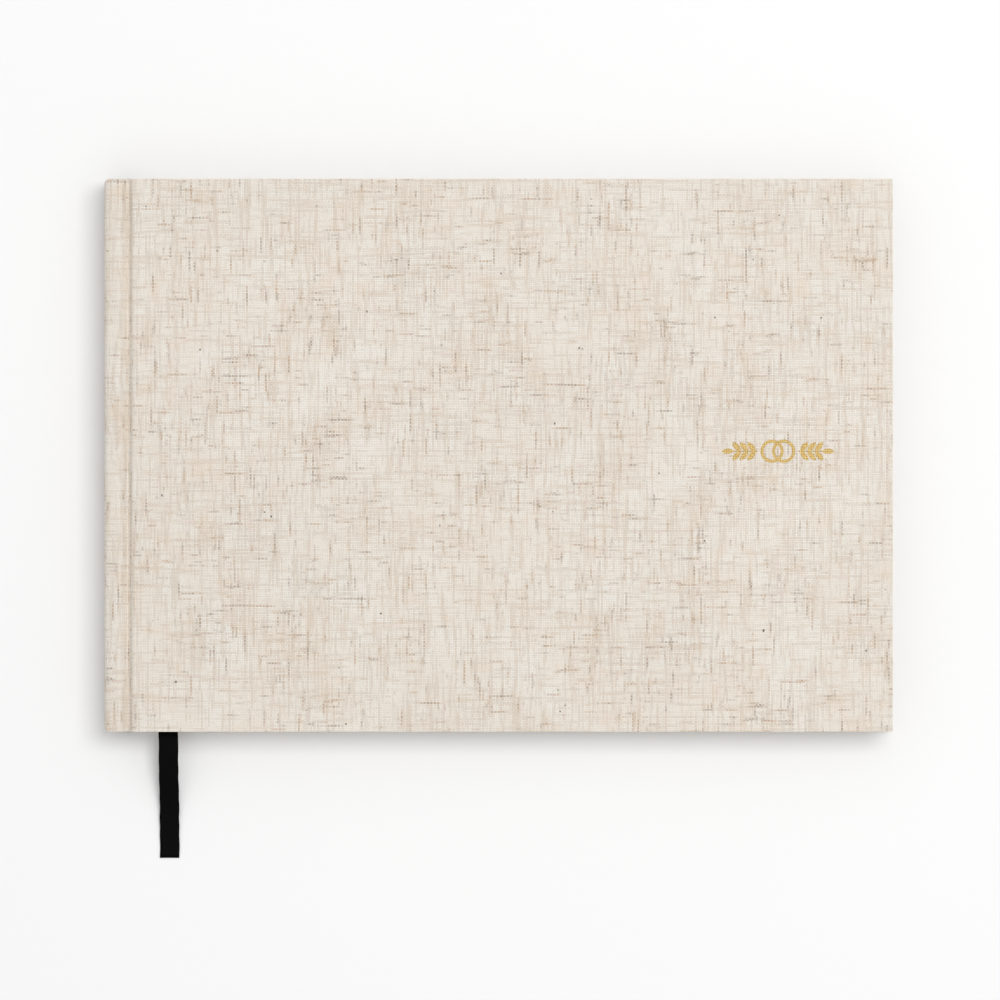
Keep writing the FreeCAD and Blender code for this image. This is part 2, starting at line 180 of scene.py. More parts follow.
class Finish:
    """A material, or the room's light, under construction."""

    def __init__(self, name):
        self.material = bpy.data.materials.new(name)
        self.material.use_nodes = True
        self.tree = self.material.node_tree
        self.tree.nodes.clear()

    @classmethod
    def of_tree(cls, tree):
        finish = cls.__new__(cls)
        finish.tree = tree
        tree.nodes.clear()
        return finish

    def node(self, kind, settings=None, values=None, output=0):
        made = self.tree.nodes.new(kind)
        for name, setting in (settings or {}).items():
            setattr(made, name, setting)
        for name, value in (values or {}).items():
            socket = made.inputs[name]
            if isinstance(value, Field):
                self.tree.links.new(value.socket, socket)
            else:
                socket.default_value = value
        return Field(self, made.outputs[output]) if made.outputs else made

    def place(self):
        return self.node("ShaderNodeTexCoord", output="Object")

    def cloth_place(self):
        return self.node("ShaderNodeUVMap", {"uv_map": "cloth"})

    def parts(self, vector):
        return [
            self.node("ShaderNodeSeparateXYZ", None, {"Vector": vector}, axis) for axis in "XYZ"
        ]

    def point(self, x, y, z=0.0):
        return self.node("ShaderNodeCombineXYZ", None, {"X": x, "Y": y, "Z": z})

    def noise(self, vector, scale, detail=2.0, rough=0.5):
        values = {"Vector": vector, "Scale": scale, "Detail": detail, "Roughness": rough}
        return self.node("ShaderNodeTexNoise", None, values)

    def mix(self, factor, first, second):
        values = {0: factor, 6: first, 7: second}
        return self.node("ShaderNodeMix", {"data_type": "RGBA"}, values, 2)

    def bump(self, height, distance, strength=1.0):
        values = {"Height": height, "Distance": distance, "Strength": strength}
        return self.node("ShaderNodeBump", None, values)

    def surface(self, colour, rough, bump=None, metallic=0.0, **fixed):
        values = {"Base Color": colour, "Roughness": rough, "Metallic": metallic}
        if bump is not None:
            values["Normal"] = bump
        for name, value in fixed.items():
            values[name.replace("_", " ")] = value
        shader = self.node("ShaderNodeBsdfPrincipled", None, values)
        self.node("ShaderNodeOutputMaterial", None, {"Surface": shader})
        return self.material


def tint(red, green, blue):
    return (red, green, blue, 1.0)


# ---------------------------------------------------------------- finishes

CREAM = tint(0.765, 0.703, 0.624)
CHALK = tint(0.775, 0.745, 0.690)
OATMEAL = tint(0.545, 0.440, 0.335)
PEACH = tint(0.70, 0.545, 0.415)
BARK = tint(0.27, 0.190, 0.130)
RUST = tint(0.45, 0.275, 0.155)
HUSK = tint(0.035, 0.028, 0.022)
COTTON = tint(0.88, 0.86, 0.80)
THREAD_PITCH = 0.56 * MM


def thread_run(paint, across, along, seed):
    """One set of threads: faint changes of tone along each thread, and its darker slubs."""
    lane = across.floor() * 3.71 + seed
    tone = paint.noise(paint.point(lane, along * 66.0, seed), 1.0, 3.0, 0.62)
    slub = paint.noise(paint.point(lane + 40.5, along * 88.0, seed), 1.0, 3.0, 0.58)
    return tone, slub


def linen_pattern(paint):
    """Colour and height of the slub linen, from the cloth's own flat coordinates in metres."""
    flat = paint.cloth_place()
    u, v, _ = paint.parts(flat)
    drift = paint.noise(flat, 70.0, 2.0) - 0.5
    warp = u / THREAD_PITCH + drift * 1.1
    weft = v / THREAD_PITCH + drift * 1.1
    warp_tone, warp_slub = thread_run(paint, warp, v, 3.3)
    weft_tone, weft_slub = thread_run(paint, weft, u, 61.7)

    over = ((warp.floor() + weft.floor()) * 0.5).fraction().step(0.2, 0.3)
    under = 1.0 - over
    fuzz = paint.noise(flat, 1900.0, 2.0, 0.6)
    broken = fuzz.step(0.32, 0.60) * 0.7 + 0.3

    gather = paint.noise(flat, 42.0, 2.0) * 0.17
    warp_dark = (warp_slub + gather).step(0.665, 0.80) * (over * 0.55 + 0.45)
    weft_dark = (weft_slub + gather).step(0.675, 0.81) * (under * 0.6 + 0.4)
    dark = warp_dark.largest(weft_dark) * broken
    warp_grey = (warp_tone + gather).step(0.53, 0.73) * (over * 0.4 + 0.6)
    weft_grey = (weft_tone + gather).step(0.54, 0.76) * (under * 0.5 + 0.5)
    greyed = warp_grey.largest(weft_grey) * (broken * 0.6 + 0.4)

    warp_round = (warp * math.pi).sine().absolute()
    weft_round = (weft * math.pi).sine().absolute()
    rib = warp_round * over + weft_round * under

    knot = paint.noise(paint.point(warp.floor() * 5.3, v * 420.0, 9.1), 1.0, 1.0)
    fleck = knot.step(0.72, 0.77) * paint.noise(flat, 130.0, 1.0).step(0.61, 0.67)
    blush = paint.noise(flat, 120.0, 2.0, 0.6).step(0.50, 0.74)
    chalky = paint.noise(flat, 58.0, 3.0, 0.6).step(0.44, 0.62)
    rusty = paint.noise(flat, 210.0, 1.0).step(0.44, 0.58)
    cloud = paint.noise(flat, 15.0, 1.0) - 0.5

    colour = paint.mix(chalky * 0.65, CREAM, CHALK)
    colour = paint.mix(greyed * 0.62, colour, OATMEAL)
    colour = paint.mix(blush * 0.25, colour, PEACH)
    colour = paint.mix(dark * 0.88, colour, paint.mix(rusty, BARK, RUST))
    colour = paint.mix(fleck * 0.85, colour, HUSK)
    # Painted shade: rib darkens the colour in the gaps between threads and lightens their crowns;
    # fuzz and cloud add the cloth's own random tone.
    painted_shade_and_tone = 0.90 + rib * 0.17 + (fuzz - 0.5) * 0.24 + cloud * 0.06
    values = {0: colour, "Scale": painted_shade_and_tone}
    colour = paint.node("ShaderNodeVectorMath", {"operation": "SCALE"}, values)
    height = rib + greyed * 0.35 + dark * 0.5 + fuzz * 0.4
    return colour, height


def linen_finish():
    paint = Finish("slub_linen")
    colour, height = linen_pattern(paint)
    bump = paint.bump(height, 0.08 * MM, 0.9)
    return paint.surface(colour, 0.86, bump, Sheen_Weight=0.12, Sheen_Roughness=0.6)


def foil_finish():
    """Stamped gold over the linen: the weave shows through, and worn specks."""
    paint = Finish("gold_foil")
    place = paint.place()
    x, y, _ = paint.parts(place)
    grain = paint.noise(place, 2400.0, 3.0, 0.6)
    threads = (x / THREAD_PITCH * math.pi).sine().absolute() * 0.5
    threads = threads + (y / THREAD_PITCH * math.pi).sine().absolute() * 0.5
    worn = (grain * 0.8 + threads * 0.2).step(0.58, 0.72)
    colour = paint.mix(grain.step(0.30, 0.70), tint(0.26, 0.175, 0.06), tint(0.50, 0.355, 0.135))
    colour = paint.mix(worn * 0.4, colour, tint(0.62, 0.52, 0.33))
    rough = 0.34 + grain * 0.22
    bump = paint.bump(threads + grain * 0.8, 0.05 * MM, 0.9)
    return paint.surface(colour, rough, bump, 0.88)


def paper_finish(name, colour, fibre):
    """Uncoated paper: fine felt, a few faint fibres and slow changes of tone."""
    paint = Finish(name)
    place = paint.place()
    felt = paint.noise(place, 3200.0, 3.0, 0.6)
    cloudy = paint.noise(place, 38.0, 2.0)
    x, y, z = paint.parts(place)
    strands = paint.noise(paint.point(x * 260.0, y * 1900.0, z * 900.0), 1.0, 2.0).step(0.66, 0.80)
    tone = paint.mix(cloudy * 0.5 + felt * 0.3, colour, fibre)
    tone = paint.mix(strands * 0.18, tone, fibre)
    return paint.surface(tone, 0.84, paint.bump(felt, 0.02 * MM, 0.5))


def board_finish():
    """Grey binder's board: pressed pulp with dark and pale flecks."""
    paint = Finish("greyboard")
    place = paint.place()
    pulp = paint.noise(place, 1500.0, 4.0, 0.7)
    specks = paint.noise(place, 4200.0, 1.0).step(0.62, 0.70)
    colour = paint.mix(pulp, tint(0.30, 0.29, 0.265), tint(0.50, 0.485, 0.45))
    colour = paint.mix(specks * 0.5, colour, tint(0.12, 0.115, 0.11))
    return paint.surface(colour, 0.92, paint.bump(pulp, 0.08 * MM, 0.7))


def weave_finish(name, low, high, pitch, rough, depth):
    """A plain weave: threads along Y cross those that run along Z or X."""
    paint = Finish(name)
    x, y, z = paint.parts(paint.place())
    across = (y / pitch * math.pi).sine().absolute()
    along = ((z + x) / pitch * math.pi).sine().absolute()
    fuzz = paint.noise(paint.place(), 2500.0, 2.0)
    # Painted shade: the colour darkens in the gaps between the threads, mixed with random fuzz;
    # the same field gives the bump.
    weave = across * along + fuzz * 0.4
    return paint.surface(
        paint.mix(weave, low, high), rough, paint.bump(weave, depth, 0.8), Sheen_Weight=0.1,
    )


def satin_finish():
    """Black satin: fine lengthwise floats over faint cross picks."""
    paint = Finish("black_satin")
    place = paint.place()
    x, y, z = paint.parts(place)
    floats = paint.noise(paint.point(x * 9000.0, y * 350.0, z * 350.0), 1.0, 2.0)
    picks = ((y + z * 0.5) / (0.16 * MM) * math.pi).sine().absolute()
    colour = paint.mix(floats, tint(0.0015, 0.0015, 0.0018), tint(0.004, 0.004, 0.0045))
    rough = 0.36 + floats * 0.2
    bump = paint.bump(floats + picks * 0.25, 0.015 * MM, 0.7)
    return paint.surface(colour, rough, bump, Specular_IOR_Level=0.025)


def thread_finish(name, low, high):
    paint = Finish(name)
    x, y, z = paint.parts(paint.place())
    ply_relief_and_groove_shade = ((y + z + x) / (0.12 * MM) * math.pi).sine().absolute()
    fuzz = paint.noise(paint.place(), 3000.0, 2.0)
    # Painted shade: the tone darkens in the grooves of the twist, mixed with the thread's own
    # random tone; the twist also gives the bump.
    tone = paint.mix(ply_relief_and_groove_shade * 0.6 + fuzz * 0.4, low, high)
    return paint.surface(tone, 0.62, paint.bump(ply_relief_and_groove_shade, 0.02 * MM, 0.7), Sheen_Weight=0.15)


def floor_finish():
    paint = Finish("studio_floor")
    grain = paint.noise(paint.place(), 3.0, 2.0)
    colour = paint.mix(grain, tint(0.855, 0.855, 0.855), tint(0.865, 0.865, 0.865))
    return paint.surface(colour, 0.9, None, Specular_IOR_Level=0.1)


LINEN = linen_finish()
FOIL = foil_finish()
ENDPAPER = paper_finish("endpaper", tint(0.83, 0.79, 0.715), tint(0.72, 0.67, 0.585))
PAGE = paper_finish("page_paper", tint(0.86, 0.835, 0.78), tint(0.78, 0.745, 0.68))
KRAFT = paper_finish("kraft_paper", tint(0.46, 0.32, 0.19), tint(0.30, 0.20, 0.11))
GREYBOARD = board_finish()
GAUZE = weave_finish("gauze", tint(0.52, 0.50, 0.45), COTTON, 0.8 * MM, 0.9, 0.1 * MM)
TAPE = weave_finish("cotton_tape", tint(0.70, 0.67, 0.60), COTTON, 0.3 * MM, 0.85, 0.05 * MM)
SATIN = satin_finish()
THREAD = thread_finish("linen_thread", tint(0.58, 0.52, 0.42), tint(0.85, 0.81, 0.72))
BAND_PALE = thread_finish("band_pale_silk", tint(0.68, 0.63, 0.54), tint(0.90, 0.87, 0.80))
BAND_GOLD = thread_finish("band_gold_silk", tint(0.42, 0.30, 0.13), tint(0.70, 0.54, 0.28))


# ---------------------------------------------------------------- mesh helpers

def finished(name, mesh, material, smooth=True):
    """A bmesh as a piece with its material and slot."""
    data = bpy.data.meshes.new(name)
    mesh.to_mesh(data)
    mesh.free()
    for face in data.polygons:
        face.use_smooth = smooth
    data.materials.append(material)
    piece = bpy.data.objects.new(name, data)
    bpy.context.scene.collection.objects.link(piece)
    return piece


def add_bevel(piece, width):
    edge = piece.modifiers.new("edges", "BEVEL")
    edge.width = width
    edge.segments = 3
    edge.limit_method = "ANGLE"
    edge.angle_limit = math.radians(50)
    edge.harden_normals = True


def add_thickness(piece, thick, offset=-1.0):
    wall = piece.modifiers.new("thickness", "SOLIDIFY")
    wall.thickness = thick
    wall.offset = offset


def row_of_vertices(mesh, x, z, stations):
    """An open row along Y, as the edge that a sheet is drawn out from."""
    verts = [mesh.verts.new((x, y, z)) for y in stations]
    return [mesh.edges.new(pair) for pair in zip(verts, verts[1:])]


def draw_out(mesh, edges, step):
    """Extrudes a row of edges and moves the new row by a step."""
    made = bmesh.ops.extrude_edge_only(mesh, edges=edges)["geom"]
    verts = [item for item in made if isinstance(item, bmesh.types.BMVert)]
    bmesh.ops.translate(mesh, verts=verts, vec=step)
    fresh = set(verts)
    return [
        item for item in made
        if isinstance(item, bmesh.types.BMEdge) and all(v in fresh for v in item.verts)
    ]


def drawn_sheet(profile, stations):
    """A sheet with one section, given as points in X and Z, all along Y."""
    mesh = bmesh.new()
    (x, z), *rest = profile
    edges = row_of_vertices(mesh, x, z, stations)
    for next_x, next_z in rest:
        edges = draw_out(mesh, edges, (next_x - x, 0, next_z - z))
        x, z = next_x, next_z
    return mesh


def rounded_line(points, rounds):
    """Corner cutting: each round replaces a corner by two points nearer to each other."""
    for _ in range(rounds):
        cut = [points[0]]
        for (ax, az), (bx, bz) in zip(points, points[1:]):
            cut.append((ax * 0.75 + bx * 0.25, az * 0.75 + bz * 0.25))
            cut.append((ax * 0.25 + bx * 0.75, az * 0.25 + bz * 0.75))
        cut.append(points[-1])
        points = cut
    return points


def spread(low, high, count):
    return [low + (high - low) * index / count for index in range(count + 1)]


def near_edges(low, high, margins, count):
    """Even stations between low and high, with more of them close to both ends."""
    inner = spread(low + margins[-1], high - margins[-1], count)
    left = [low + margin for margin in margins[:-1]]
    right = [high - margin for margin in reversed(margins[:-1])]
    return [low] + left + inner + right + [high]


def refined(stations, low, high):
    """The same stations, with close ones in the stretch from low to high."""
    pitch = 0.22 * MM
    outside = [place for place in stations if place < low - pitch or place > high + pitch]
    return sorted(outside + spread(low, high, round((high - low) / pitch)))


def smooth_rise(value, low, high):
    share = min(max((value - low) / (high - low), 0.0), 1.0)
    return share * share * (3 - 2 * share)


def face_down(mesh):
    """Turns a flat sheet's faces down, so that its thickness grows upwards."""
    bmesh.ops.recalc_face_normals(mesh, faces=mesh.faces)
    if next(iter(mesh.faces)).normal.z > 0:
        bmesh.ops.reverse_faces(mesh, faces=mesh.faces)


def mirror_to_back(mesh):
    """Turns a piece of the front into its partner on the back."""
    bmesh.ops.scale(mesh, vec=(1, 1, -1), verts=mesh.verts)
    bmesh.ops.translate(mesh, vec=(0, 0, TOP_Z), verts=mesh.verts)
    bmesh.ops.reverse_faces(mesh, faces=mesh.faces)


# ---------------------------------------------------------------- cover cloth

EDGE_MARGINS = (0.6 * MM, 1.5 * MM, 4 * MM, 8 * MM, TURN_IN)


def spine_section():
    """The cloth's outer face from the middle of the spine to the board's near edge."""
    corners = [
        (SPINE_X, MIDDLE_Z),
        (SPINE_X, SPINE_CLOTH[1][2]),
        (SPINE_X + 0.06 * MM, TOP_Z - 2.4 * MM),
        (SPINE_X + 0.6 * MM, TOP_Z - 1.2 * MM),
        (SPINE_X + 1.7 * MM, TOP_Z - 0.62 * MM),
        (SPINE_X + 3.3 * MM, TOP_Z - 0.24 * MM),
        (SPINE_X + 4.7 * MM, TOP_Z - 0.10 * MM),
        (SPINE_X + 5.7 * MM, TOP_Z - 0.45 * MM),
        (SPINE_X + 6.6 * MM, TOP_Z - 1.5 * MM),
        (SPINE_X + 7.3 * MM, TOP_Z - 2.35 * MM),
        (SPINE_X + 7.85 * MM, TOP_Z - 2.5 * MM),
        (SPINE_X + 8.4 * MM, TOP_Z - 1.85 * MM),
        (SPINE_X + 8.85 * MM, TOP_Z - 0.8 * MM),
        (SPINE_X + 9.5 * MM, TOP_Z - 0.2 * MM),
        (SPINE_X + 10.7 * MM, TOP_Z - 0.02 * MM),
        (SPINE_X + 12.2 * MM, TOP_Z),
    ]
    return rounded_line(corners, 2)


def round_spine_corner(mesh, radius, reach):
    """Draws the cloth in at the head and tail of the spine, as its folded corner does."""
    for vert in mesh.verts:
        across = vert.co.x - SPINE_X
        beyond = abs(vert.co.y) - (HALF_Y - reach)
        if across < radius and beyond > 0:
            inset = radius - math.sqrt(max(radius ** 2 - (radius - across) ** 2, 0.0))
            y = HALF_Y - reach + beyond * (1 - inset / reach)
            vert.co.y = math.copysign(y, vert.co.y)


def cloth_drop(place, normal):
    """From the outer face to the folded-under cloth at the head or tail edge."""
    x, _, z = place
    if x > SPINE_X + 7.8 * MM:
        return Vector((0, 0, TOP_Z - z - SLEEVE_DEPTH))
    inward = Vector((-normal.x, 0, -normal.z)).normalized()
    behind_board = 1 - smooth_rise(z, SPINE_CLOTH[1][2], SPINE_CLOTH[1][2] + MM)
    return inward * (2.3 * CLOTH + behind_board * 1.4 * MM)


def turn_over(mesh):
    """Draws the three outer edges down the boards, then inwards as mitred turn-ins."""
    outer = [edge for edge in mesh.edges if edge.is_boundary]
    outer = [
        edge for edge in outer
        if not all(abs(vert.co.z - MIDDLE_Z) < 1e-6 for vert in edge.verts)
    ]
    normals = {tuple(vert.co): vert.normal.copy() for edge in outer for vert in edge.verts}
    made = bmesh.ops.extrude_edge_only(mesh, edges=outer)["geom"]
    under = [item for item in made if isinstance(item, bmesh.types.BMVert)]
    for vert in under:
        vert.co += cloth_drop(vert.co, normals[tuple(vert.co)])
    fresh = set(under)
    rim = [
        item for item in made
        if isinstance(item, bmesh.types.BMEdge) and all(v in fresh for v in item.verts)
    ]
    made = bmesh.ops.extrude_edge_only(mesh, edges=rim)["geom"]
    seam = 0.12 * MM
    for vert in made:
        if not isinstance(vert, bmesh.types.BMVert):
            continue
        from_fore = FORE_X - vert.co.x
        from_side = HALF_Y - abs(vert.co.y)
        side = math.copysign(1.0, vert.co.y)
        if from_side < 2 * MM and from_fore > 1e-6:
            reach = min(TURN_IN, max(from_fore - seam, 0.0))
            if vert.co.x < BOARD_X:
                reach = 9 * MM
            vert.co.y -= side * reach
        elif from_fore < 1e-6 and from_side > 1e-6:
            vert.co.x -= min(TURN_IN, max(from_side - seam, 0.0))
    bmesh.ops.dissolve_degenerate(mesh, dist=1e-6, edges=mesh.edges)


def unroll(piece, side):
    """The cloth's own flat coordinates: lengths run on over the edges and round the spine."""
    data = piece.data
    layer = data.uv_layers.new(name="cloth")
    outer_z, out = (TOP_Z, 1) if side == "front" else (0.0, -1)
    for face in data.polygons:
        normal = face.normal
        inner = normal.z * out < -0.5
        for loop in face.loop_indices:
            x, y, z = data.vertices[data.loops[loop].vertex_index].co
            depth = abs(outer_z - z)
            y_way = math.copysign(1.0, y)
            u, v = x, y
            if inner and x > FORE_X - TURN_IN and FORE_X - x < HALF_Y - abs(y):
                u = FORE_X + SLEEVE_DEPTH + (FORE_X - x)
            elif inner:
                v = y_way * (HALF_Y + SLEEVE_DEPTH + HALF_Y - abs(y))
            elif abs(normal.y) > 0.7:
                v = y_way * (HALF_Y + depth)
            elif normal.x > 0.7 and x > 0:
                u = FORE_X + depth
            elif normal.x < -0.7 and x < BOARD_X:
                u = SPINE_X - depth
            if side == "back":
                u = 2 * SPINE_X - TOP_Z - u
            layer.data[loop].uv = (u, v)


def press_ornament(mesh):
    """Presses the cloth down under the foil and just around it."""
    plates = foil_plates()
    bmesh.ops.translate(plates, vec=ORNAMENT_MIDDLE, verts=plates.verts)
    tree = BVHTree.FromBMesh(plates)
    plates.free()
    rim = 0.15 * MM
    around = [Vector(step) for step in ((0, 0, 0), (rim, 0, 0), (-rim, 0, 0), (0, rim, 0),
                                        (0, -rim, 0))]
    down = Vector((0, 0, -1))
    start = Vector((0, 0, 5 * MM))
    for vert in mesh.verts:
        if abs(vert.co.z - TOP_Z) > 1e-6:
            continue
        if any(tree.ray_cast(vert.co + start + step, down)[0] is not None for step in around):
            vert.co.z -= STAMP_DEPTH


def cover_linen(side):
    """One half of the cover cloth, from the middle of the spine to its turn-ins."""
    stations_y = near_edges(-HALF_Y, HALF_Y, EDGE_MARGINS, 20)
    board_start = BOARD_X + 2.6 * MM
    fore = [FORE_X - margin for margin in reversed(EDGE_MARGINS)] + [FORE_X]
    stations_x = spread(board_start, FORE_X - TURN_IN, 22)[1:] + fore[1:]
    if side == "front":
        stations_x = refined(stations_x, ORNAMENT[0][0] - MM, ORNAMENT[1][0] + MM)
        stations_y = refined(stations_y, ORNAMENT[0][1] - MM, ORNAMENT[1][1] + MM)
    profile = spine_section() + [(x, TOP_Z) for x in stations_x]
    mesh = drawn_sheet(profile, stations_y)
    round_spine_corner(mesh, 1.7 * MM, 5 * MM)
    bmesh.ops.recalc_face_normals(mesh, faces=mesh.faces)
    if next(iter(mesh.faces)).normal.x > 0:
        bmesh.ops.reverse_faces(mesh, faces=mesh.faces)
    mesh.normal_update()
    turn_over(mesh)
    bmesh.ops.recalc_face_normals(mesh, faces=mesh.faces)
    highest = max(mesh.faces, key=lambda face: face.calc_center_median().z)
    if highest.normal.z < 0:
        bmesh.ops.reverse_faces(mesh, faces=mesh.faces)
    if side == "back":
        mirror_to_back(mesh)
    else:
        press_ornament(mesh)
    piece = finished(side + "_cover_linen", mesh, LINEN)
    unroll(piece, side)
    add_bevel(piece, 0.55 * MM)
    add_thickness(piece, CLOTH * 0.9)
    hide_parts(side + "_cloth", side + "_joint_cloth", "spine_cloth")
    start, end = cover_bend(side)
    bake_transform(piece)


def cover_bend(side):
    """Two points beside the spine's edge, where the joint's cloth turns most, for the front or the
    back.
    """
    start = Vector((SPINE_X, 0, SPINE_CLOTH[1][2]))
    end = start + Vector((3.32 * MM, 0, 4.89 * MM))
    if side == "back":
        start.z = TOP_Z - start.z
        end.z = TOP_Z - end.z
    return tuple(start), tuple(end)


# ---------------------------------------------------------------- foil ornament

def foil_plates():
    """Two linked rings between two sprigs, as flat faces at z = 0 about the ornament's middle."""
    length = ORNAMENT[1][0] - ORNAMENT[0][0]
    height = ORNAMENT[1][1] - ORNAMENT[0][1]
    ring_radius = height / 2
    ring_width = 1.0 * MM
    mesh = bmesh.new()
    for way in (-1, 1):
        add_ring(mesh, way * ring_radius / 2, ring_radius, ring_width)
        add_sprig(mesh, way, length / 2, ring_radius)
    return mesh


def add_ring(mesh, centre_x, radius, width):
    """A flat ring, spun from one radial edge; each ring crosses over the other once."""
    centre = Vector((centre_x, 0, 0))
    ends = [mesh.verts.new(centre + Vector((radius - way * width, 0, 0))) for way in (0, 1)]
    edge = mesh.edges.new(ends)
    bmesh.ops.spin(
        mesh, geom=ends + [edge], cent=centre, axis=(0, 0, 1), dvec=(0, 0, 0),
        angle=math.tau, steps=64, use_merge=True, use_duplicate=False,
    )
    lean = math.copysign(0.02 * MM, centre_x) / radius
    for vert in mesh.verts:
        if (vert.co - centre).length < radius + 0.01 * MM and vert.co.z == 0:
            vert.co.z = lean * vert.co.y


def add_leaf(mesh, base, angle, length, width, lift):
    """A pointed leaf: a row of edges along its rib, widened by the shape of two arcs."""
    steps = 8
    turn = Matrix.Rotation(angle, 3, "Z")
    sides = []
    for way in (-1, 1):
        row = []
        for index in range(steps + 1):
            share = index / steps
            bulge = 4 * share * (1 - share) * width / 2
            row.append(base + turn @ Vector((share * length, way * bulge, 0)))
        sides.append(row)
    outline = sides[0] + list(reversed(sides[1]))[1:-1]
    mesh.faces.new([mesh.verts.new((place.x, place.y, lift)) for place in outline])


def add_sprig(mesh, way, half_length, ring_radius):
    """A thin stem with three pairs of leaves and one at its end."""
    start = ring_radius * 1.765
    leaf_length = ring_radius * 1.059
    leaf_width = leaf_length * 0.45
    stem_end = half_length - leaf_length
    stem = 0.25 * MM
    step = 0.006 * MM
    corners = ((start, -stem), (stem_end, -stem * 0.6), (stem_end, stem * 0.6), (start, stem))
    mesh.faces.new([mesh.verts.new((way * x, y, 0)) for x, y in corners])
    pairs = 3
    for index in range(pairs):
        x = start + 0.6 * MM + index * (stem_end - start - 0.6 * MM) / pairs
        for side in (-1, 1):
            angle = side * math.radians(48)
            if way < 0:
                angle = math.pi - angle
            lift = (2 + 2 * index + (side > 0)) * step
            add_leaf(mesh, Vector((way * x, 0, 0)), angle, leaf_length, leaf_width, lift)
    tip_angle = 0.0 if way > 0 else math.pi
    tip_base = Vector((way * (stem_end - 0.2 * MM), 0, 0))
    add_leaf(mesh, tip_base, tip_angle, leaf_length, leaf_width, step)


def foil_ornament():
    mesh = foil_plates()
    bmesh.ops.triangulate(mesh, faces=[face for face in mesh.faces if len(face.verts) > 4])
    bmesh.ops.recalc_face_normals(mesh, faces=mesh.faces)
    for face in mesh.faces:
        if face.normal.z < 0:
            face.normal_flip()
    place = (ORNAMENT_MIDDLE[0], ORNAMENT_MIDDLE[1], TOP_Z - STAMP_DEPTH + 0.05 * MM)
    bmesh.ops.translate(mesh, vec=place, verts=mesh.verts)
    piece = finished("foil_rings_and_sprigs", mesh, FOIL, smooth=False)
    add_thickness(piece, 0.05 * MM)
    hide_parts("foil_ornament")
    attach(piece, "front_cover")


# ---------------------------------------------------------------- endpapers

def pastedown(side):
    """Glued inside a cover: it shows the edge of the turn-ins, and reaches into the gutter."""
    dip = 0.22 * MM
    slope = 1.5 * MM                           # half the width of the step at a turn-in's edge
    x_low = FOLD_X
    x_high = PASTEDOWN[1][0]
    board_x = BOARD_X + 0.5 * MM
    fore_step = FORE_X - TURN_IN
    side_step = HALF_Y - TURN_IN
    stations_x = [x_low, x_low + RIM] + spread(x_low, board_x, 14)[1:]
    stations_x += spread(board_x, fore_step - slope, 18)[1:]
    stations_x += spread(fore_step - slope, fore_step + slope, 8)[1:] + [x_high - RIM, x_high]
    half = spread(0, side_step - slope, 8)[:-1]
    half += spread(side_step - slope, side_step + slope, 8) + [LEAF_HALF_Y - RIM, LEAF_HALF_Y]
    stations_y = [-y for y in reversed(half)] + half[1:]
    mesh = drawn_sheet([(x, BLOCK_TOP) for x in stations_x], stations_y)
    for vert in mesh.verts:
        inside_x = 1 - smooth_rise(vert.co.x, fore_step - MM, fore_step + MM)
        inside_y = 1 - smooth_rise(abs(vert.co.y), side_step - MM, side_step + MM)
        over_board = smooth_rise(vert.co.x, board_x + MM, board_x + 6 * MM)
        vert.co.z += dip * inside_x * inside_y * over_board + 0.03 * MM
    face_down(mesh)
    if side == "back":
        mirror_to_back(mesh)
    piece = finished(side + "_pastedown_sheet", mesh, ENDPAPER)
    add_thickness(piece, 0.14 * MM)
    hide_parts(side + "_pastedown")
    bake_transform(piece)


# ---------------------------------------------------------------- leaves and signatures

ARCH = 3.2 * MM         # close stations cover this much of a leaf's width beside the gutter, the stretch where an open leaf curves
RIM = 0.08 * MM         # a narrow band along every edge keeps the flat of a sheet flat


def leaf_stations(fore_x):
    gutter = [FOLD_X, FOLD_X + RIM] + spread(FOLD_X, FOLD_X + ARCH, 20)[1:]
    return gutter + spread(FOLD_X + ARCH, fore_x - RIM, 12)[1:] + [fore_x]


def turning_leaf(name, low_z, thick, material, body):
    """One leaf: a thin flat slab, with close stations beside the gutter."""
    stations = leaf_stations(LEAF_FORE_X + random.uniform(-0.06, 0.0) * MM)
    across = near_edges(-LEAF_HALF_Y, LEAF_HALF_Y, (RIM, 10 * MM), 6)
    mesh = drawn_sheet([(x, low_z) for x in stations], across)
    face_down(mesh)
    piece = finished(name + "_sheet", mesh, material)
    add_thickness(piece, thick)
    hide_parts(name)
    if body == "text_block":
        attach(piece, body)
    else:
        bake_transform(piece)


def turning_leaves():
    for number in range(1, 17):
        name = "leaf_%02d" % number
        low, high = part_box(name)
        thick = (high[2] - low[2]) * 0.82
        turning_leaf(name, low[2] + 0.015 * MM, thick, PAGE, name)
    for name, body in (("front_flyleaf", "front_flyleaf"), ("back_flyleaf", "text_block")):
        low_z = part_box(name)[0][2]
        turning_leaf(name, low_z + 0.02 * MM, 0.15 * MM, ENDPAPER, body)


def folded_sheet(mesh, middle_z, radius, thick):
    """Two leaves and their shared fold: one section drawn from head to tail."""
    fold_x = FOLD_X + 0.68 * MM
    trim = random.uniform(-0.10, 0.0) * MM
    fore_x = LEAF_FORE_X + trim
    outline = []
    for reach, turn in ((radius + thick / 2, 1), (max(radius - thick / 2, 0.01 * MM), -1)):
        arc = [
            (fold_x - reach * math.sin(angle), middle_z + reach * math.cos(angle))
            for angle in spread(0.0, math.pi, 6)
        ]
        run = [(fore_x, arc[0][1])] + arc + [(fore_x, arc[-1][1])]
        outline += run if turn > 0 else list(reversed(run))
    verts = [mesh.verts.new((x, -LEAF_HALF_Y, z)) for x, z in outline]
    face = mesh.faces.new(verts)
    made = bmesh.ops.extrude_face_region(mesh, geom=[face])["geom"]
    moved = [item for item in made if isinstance(item, bmesh.types.BMVert)]
    bmesh.ops.translate(mesh, verts=moved, vec=(0, 2 * LEAF_HALF_Y, 0))


